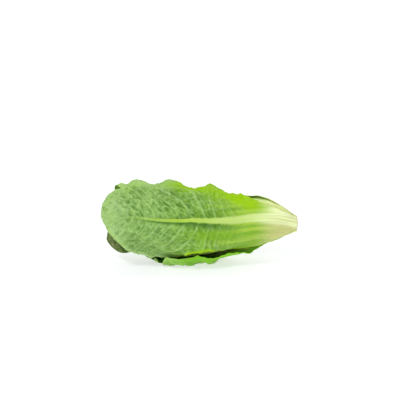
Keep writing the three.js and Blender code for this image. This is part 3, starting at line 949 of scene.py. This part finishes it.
def leaf_finish(name, blade, near, shade, vein, foot, rib, backlit_margin, shaded_low_foot=None, bloom=None,
                lime=(8, 8), lime_from=(0.02, 0.1), stripe=None, dry=None, inner_shade=0.6):
    """Leaf tissue: waxy, a little see-through, pale at the foot and greener to the tip.

    blade is the colour of the upper half, near of the lower half, and vein that of the veins.
    shade is a deep green, for the random darker tone and for the shade painted in hollows,
    beside the midrib and over the inner side's deeper green. bloom is the colour of the waxy
    end. foot and rib are those of the flesh, and shaded_low_foot, where given, is the foot's low
    side, painted darker as shade. margin is the colour of the edge, painted bright lime for
    the light that comes through it; it reaches lime mm in on the low and the high side, and
    begins over the shares lime_from. stripe is (mm beside the midrib, width in mm, colour),
    and dry is (from, to, colour), by share of the length. inner_shade is how much of the
    painted shade the inner side takes.
    """
    material, tree, shader = new_finish(name, roughness=0.42, gloss=0.35, glow=0.3, depth=0.0014)

    def known(attribute):
        return put(tree, "ShaderNodeAttribute", attribute_name=attribute).outputs["Fac"]

    a, length, beside, rim = known("share"), known("along_mm"), known("beside_mm"), known("edge_mm")
    half = reckon(tree, "POWER", a, RIB_NARROWS)
    half = reckon(tree, "MULTIPLY_ADD", half, RIB_TIP - RIB_FOOT, RIB_FOOT)
    half = times(tree, half, step(tree, a, *RIB_THINS, 1, RIB_DRAWN))
    aside = reckon(tree, "DIVIDE", beside, half)
    off = reckon(tree, "ABSOLUTE", aside)
    ribbed = step(tree, off, *RIB_PAINTED, 1, 0)
    place = put(tree, "ShaderNodeTexCoord").outputs["Object"]
    cloud = grain(tree, place, scale=45)
    mottle = grain(tree, place, scale=260)
    drawn_out = {"X": times(tree, length, STREAK_LENGTH), "Y": beside}
    spread = put(tree, "ShaderNodeCombineXYZ", drawn_out).outputs[0]
    streak = grain(tree, spread, scale=0.42, rough=0.6)
    broad = grain(tree, spread, scale=0.13, detail=1, rough=0.5)

    # The blade: cloudy green, waxy and paler at its crown end and along its edge, with pale
    # veins and painted shade in its hollows.
    rim_reach = step(tree, beside, *SIDE_BLEND, *PALE_RIM_REACH)
    pale_rim = times(tree, step(tree, reckon(tree, "DIVIDE", rim, rim_reach), 0.2, 1, 0.8, 0),
                     step(tree, a, *PALE_RIM_FROM), step(tree, a, *PALE_RIM_FADES, 1, 0.3))
    tissue = coat(
        tree, near,
        (step(tree, a, *UPPER_GREEN), blade),
        (step(tree, cloud, 0.3, 0.7, 0.5, 0), shade),
        (step(tree, mottle, 0.45, 0.68, 0, 0.5), vein),
        (step(tree, mottle, 0.3, 0.46, 0.45, 0), shade),
        (step(tree, a, *BLOOM_FROM, 0, 0.6), bloom or vein),
        (pale_rim, vein),
        # painted shade in the hollows and pits of the relief
        (times(tree, known("hollow"), 0.7), shade),
        (times(tree, known("vein"), 0.4), vein),
    )

    # Towards the foot the green runs out in long stripes, and the flesh is cream.
    # The foot's low side, which faces down, is painted darker as shade.
    foot = mix_paint(tree, step(tree, beside, *FOOT_SIDES), shaded_low_foot or foot, foot)
    reach = reckon(tree, "MULTIPLY_ADD", streak, -0.1, a)
    reach = reckon(tree, "MULTIPLY_ADD", broad, -0.22, reach)
    tissue = coat(
        tree, tissue,
        (step(tree, reach, *FLESH_ENDS, 1, 0),
         mix_paint(tree, step(tree, broad, 0.35, 0.65), near, rib)),
        (step(tree, reach, *CREAM_ENDS, 1, 0), foot),
        (step(tree, a, *ALL_CREAM, 1, 0), foot),
    )

    # The margin of the lower half is thin, and is painted bright lime for the light that comes
    # through it.
    inward = times(tree, step(tree, beside, *SIDE_BLEND, *lime),
                   step(tree, a, *MARGIN_WIDENS, 0.55, 1))
    glow = times(tree, step(tree, reckon(tree, "DIVIDE", rim, inward), 0.35, 1, 1, 0),
                 step(tree, cloud, 0.25, 0.6, 0.6, 1), step(tree, a, *MARGIN_FADES, 1, 0.2),
                 step(tree, a, *lime_from))
    tissue = mix_paint(tree, glow, tissue, backlit_margin)
    if stripe:
        middle, width, colour = stripe
        band = reckon(tree, "ABSOLUTE", reckon(tree, "SUBTRACT", beside, middle))
        green = times(tree, step(tree, band, 0.3 * width, width, 0.9, 0),
                      step(tree, a, *STRIPE_FROM), step(tree, a, *STRIPE_UNTIL, 1, 0))
        tissue = mix_paint(tree, green, tissue, colour)

    # The midrib, with shade painted in the crease beside it, where the blade is also a deeper
    # green, and darker on its low side, where the midrib's shadow is painted.
    crease_shade = times(tree, step(tree, off, *CREASE_INNER), step(tree, off, *CREASE_OUTER, 1, 0),
                   step(tree, aside, -0.5, 0.5, 1, 0.3), step(tree, a, *CREASE_FROM, 0, 0.9),
                   step(tree, a, *CREASE_FADES, 1, 0.2))
    greening = reckon(tree, "ADD", step(tree, a, *RIB_GREENS, 0, 0.7),
                      step(tree, a, *RIB_FULL_GREEN, 0, 0.3))
    fibres = coat(tree, foot, (greening, rib), (step(tree, streak, 0.4, 0.65, 0, 0.35), rib))
    held = times(tree, ribbed, step(tree, a, *RIB_FADES, 0.95, 0.05))

    # The foot dries in tan streaks and browns at the cut. The inner side is a deeper green, and
    # is painted darker still as shade, by inner_shade.
    tan = times(tree, step(tree, streak, 0.5, 0.64), step(tree, a, *TAN_ENDS, 0.45, 0))
    inside = times(tree, step(tree, known("outer_side"), 0.4, 0.6, inner_shade, 0),
                   step(tree, a, *INNER_FROM))
    tissue = coat(
        tree, tissue,
        (crease_shade, shade),
        (held, fibres),
        (tan, DRIED_TAN),
        (step(tree, length, *CUT_BROWNED, 0.6, 0), CUT_BROWN),
        (inside, shade),
    )
    if dry:
        begins, full, colour = dry
        withered = times(tree, step(tree, a, begins, full), step(tree, mottle, 0.36, 0.6, 0.3, 1))
        tissue = mix_paint(tree, withered, tissue, colour)
    tree.links.new(tissue, shader.inputs["Base Color"])
    tree.links.new(step(tree, glow, 0.1, 0.8, 0.23, 0.06), shader.inputs["Specular IOR Level"])
    tree.links.new(step(tree, mottle, 0.2, 0.8, 0.36, 0.54), shader.inputs["Roughness"])

    # The skin: the finest net of veins, a grain, and fibres at the foot.
    small = put(tree, "ShaderNodeCombineXYZ", {"X": length, "Y": beside}).outputs[0]
    meshes = {"Vector": small, "Scale": 0.28, "Randomness": 1.0}
    mesh = put(tree, "ShaderNodeTexVoronoi", meshes, feature="DISTANCE_TO_EDGE").outputs["Distance"]
    fine = times(tree, step(tree, mesh, 0, 0.4, 1, 0), step(tree, a, *INNER_FROM),
                 reckon(tree, "SUBTRACT", 1, ribbed))
    dust = grain(tree, place, scale=900, detail=2)
    skin = reckon(tree, "MULTIPLY_ADD", dust, 0.5, times(tree, fine, 0.45))
    skin = reckon(tree, "MULTIPLY_ADD", streak, step(tree, a, *FOOT_SKIN, 1.6, 0), skin)
    bump = put(tree, "ShaderNodeBump", {"Strength": 0.5, "Distance": 0.0005, "Height": skin})
    tree.links.new(bump.outputs[0], shader.inputs["Normal"])
    return material


def finish_leaf(name, index, finish, slot, rows, columns, jag=JAG, seed=None, **sizes):
    """Makes a leaf, lays its relief and finish on it, and puts it in its node's place."""
    piece = leaf_piece(name, leaves[index], rows, columns, jag)
    raise_veins(piece, finish, seed=index if seed is None else seed, **sizes)
    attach(piece, "root")
    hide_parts(f"leaf_{index + 1:02d}")


# ---------- the heart ----------
# The seven smallest leaves, young and crisp, and yellow because no light has reached them.
# They wrap the stem's growing point, and grow on the stem one above the other.

heart_tissue = leaf_finish(
    "heart_leaf",
    blade=paint(222, 228, 112),
    near=paint(226, 230, 124),
    shade=paint(206, 216, 92),
    vein=paint(232, 236, 154),
    foot=paint(236, 236, 190),
    rib=paint(232, 234, 160),
    backlit_margin=paint(216, 224, 96),
    inner_shade=0.1,
)
for index in range(13, 20):
    finish_leaf(f"heart_leaf_{index + 1:02d}", index, heart_tissue, "heart_leaf",
                rows=70, columns=36, vein_rise=0.4, pucker_depth=0.6, crumple=0.25,
                swell=0.5, ruffle=1.6)

# ---------- the inner leaves ----------
# Six paler leaves between the heart and the wrappers, seen only at the open crown. They
# grow on the stem behind the cut and lie close round the heart.

inner_tissue = leaf_finish(
    "inner_leaf",
    blade=paint(178, 208, 84),
    near=paint(186, 212, 92),
    shade=paint(150, 188, 58),
    vein=paint(200, 220, 122),
    foot=paint(226, 230, 168),
    rib=paint(206, 222, 126),
    backlit_margin=paint(176, 206, 62),
    inner_shade=0.25,
)
for index in range(7, 13):
    finish_leaf(f"inner_leaf_{index + 1:02d}", index, inner_tissue, "inner_leaf",
                rows=90, columns=48, vein_rise=0.5, pucker_depth=0.9, crumple=0.4,
                swell=0.6, ruffle=1.8)

# ---------- the four covered wrapper leaves ----------
# Full green outer leaves that the last three lie over. Their tips show at the open crown,
# and the largest one's edge in the gap above the lowest leaf.

wrapper_tissue = leaf_finish(
    "wrapper_leaf",
    blade=paint(118, 166, 66),
    near=paint(112, 164, 48),
    shade=paint(70, 120, 26),
    vein=paint(156, 194, 104),
    foot=paint(220, 230, 158),
    rib=paint(166, 200, 78),
    backlit_margin=paint(120, 176, 20),
)
for index, rows, columns in ((6, 130, 80), (5, 130, 80), (4, 150, 90), (3, 150, 90)):
    finish_leaf(f"wrapper_leaf_{index + 1:02d}", index, wrapper_tissue, "outer_leaf",
                rows, columns)

# ---------- the back leaf ----------
# A wrapper leaf on the side away from the front one. Its blade is thin and waxy, its broad
# foot grows on the plate at the cut, and its tip stands open over the crown.

back_tissue = leaf_finish(
    "back_leaf",
    blade=paint(140, 184, 76),
    near=paint(188, 208, 110),
    shade=paint(84, 132, 34),
    vein=paint(168, 202, 116),
    foot=paint(232, 236, 176),
    rib=paint(196, 214, 120),
    backlit_margin=paint(150, 190, 40),
    lime=(1, 8),
    lime_from=(0.25, 0.4),
)
finish_leaf("back_leaf", 2, back_tissue, "outer_leaf", rows=200, columns=120)

# ---------- the front leaf ----------
# The wrapper leaf that shows its back, with a pale midrib from the cut almost to its tip. It
# wraps over the top of the head and hoods the crown. Its blade is puckered and waxy, and
# its upper margin is so thin that light comes through it, which is painted bright lime.

front_tissue = leaf_finish(
    "front_leaf",
    blade=paint(128, 167, 80),
    near=paint(118, 164, 34),
    shade=paint(68, 114, 24),
    vein=paint(164, 198, 122),
    foot=paint(228, 237, 184),
    rib=paint(158, 192, 60),
    backlit_margin=paint(144, 188, 8),
    shaded_low_foot=paint(194, 199, 124),
    bloom=paint(160, 186, 136),
    lime=(5, 40),
    lime_from=(0.08, 0.24),
    stripe=(-21, 9, paint(116, 162, 24)),
)
finish_leaf("front_leaf", 1, front_tissue, "outer_leaf", rows=260, columns=150,
            vein_rise=1.0, pucker_size=9.5, pucker_depth=2.4, crumple=1.3,
            ruffle=2.0, ruffle_length=14, ruffle_reach=12)

# ---------- the lowest leaf ----------
# The outermost leaf. The head's weight presses it flat below, and its free front edge lies
# on the surface and curls up again. Its narrow tip has begun to dry.

lowest_tissue = leaf_finish(
    "lowest_leaf",
    blade=paint(120, 174, 60),
    near=paint(130, 182, 58),
    shade=paint(58, 112, 22),
    vein=paint(160, 200, 100),
    foot=paint(220, 230, 158),
    rib=paint(176, 210, 84),
    backlit_margin=paint(128, 192, 44),
    lime=(8, 20),
    dry=(0.84, 0.95, paint(138, 142, 98)),
    # the inner side takes the full painted shade, which darkens the gap under the front leaf
    inner_shade=1,
)
finish_leaf("lowest_leaf", 0, lowest_tissue, "outer_leaf", rows=200, columns=110,
            jag=0.35, seed=8, vein_rise=1.2, pucker_size=8, pucker_depth=2.4,
            ruffle=2.2, ruffle_length=27, ruffle_reach=30)

# ---------- the studio ----------
# A wide pale table and soft white light from all round, strongest from above on the left.
# The camera looks down on the table a little. Lengths here are in metres.

TABLE_REACH = 9
TABLE_GLOW = 0.58
SKY_GLOW = 0.45
LIGHT_DISTANCE = 2
CAMERA_DISTANCE = 2
CAMERA_TILT = math.radians(15)
CAMERA_AIM = (0.001, 0.0857)  # across and above the middle of the place the head lies on

corners = [(x * TABLE_REACH, y * TABLE_REACH, 0) for x, y in ((-1, -1), (1, -1), (1, 1), (-1, 1))]
table = make_mesh("studio_floor", corners, np.array([[0, 1, 2, 3]]), smooth=False)
table_white, _, table_shader = new_finish(
    "table_white", roughness=0.35, gloss=0.3, glow=0, depth=0.001)
table_shader.inputs["Base Color"].default_value = (0.49, 0.49, 0.54, 1)
table_shader.inputs["Emission Color"].default_value = (1, 1, 1, 1)
table_shader.inputs["Emission Strength"].default_value = TABLE_GLOW
table.data.materials.append(table_white)
table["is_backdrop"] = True

world = bpy.data.worlds.new("studio")
world.use_nodes = True
sky = world.node_tree.nodes["Background"]
sky.inputs["Color"].default_value = (1, 1, 1, 1)
sky.inputs["Strength"].default_value = SKY_GLOW
bpy.context.scene.world = world


def softbox(name, azimuth, elevation, strength, spread):
    """A light so far and so wide that all of the table gets the same of it. In degrees."""
    lamp = bpy.data.lights.new(name, "SUN")
    lamp.energy = strength
    lamp.angle = math.radians(spread)
    light = bpy.data.objects.new(name, lamp)
    azimuth, elevation = math.radians(azimuth), math.radians(elevation)
    flat = math.cos(elevation)
    toward = Vector((flat * math.sin(azimuth), -flat * math.cos(azimuth), math.sin(elevation)))
    light.rotation_euler = toward.to_track_quat("Z", "Y").to_euler()
    light.location = toward * LIGHT_DISTANCE
    bpy.context.scene.collection.objects.link(light)


softbox("key_light", azimuth=-40, elevation=52, strength=1.5, spread=15)
softbox("fill_light", azimuth=-12, elevation=14, strength=1.1, spread=34)
softbox("back_light", azimuth=150, elevation=52, strength=1.0, spread=50)

camera = bpy.data.objects.new("camera", bpy.data.cameras.new("camera"))
camera.data.lens = 135
camera.data.sensor_width = 36
camera.location = (CAMERA_AIM[0], -CAMERA_DISTANCE * math.cos(CAMERA_TILT),
                   CAMERA_AIM[1] + CAMERA_DISTANCE * math.sin(CAMERA_TILT))
camera.rotation_euler = (math.pi / 2 - CAMERA_TILT, 0, 0)
bpy.context.scene.collection.objects.link(camera)
bpy.context.scene.camera = camera
bpy.context.scene.view_settings.view_transform = "Standard"


def plain(value):
    """A box as lists of plain numbers."""
    return [plain(v) for v in value] if hasattr(value, "__len__") else float(value)


{"cad": plain(cad_box), "visual": plain(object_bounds())}
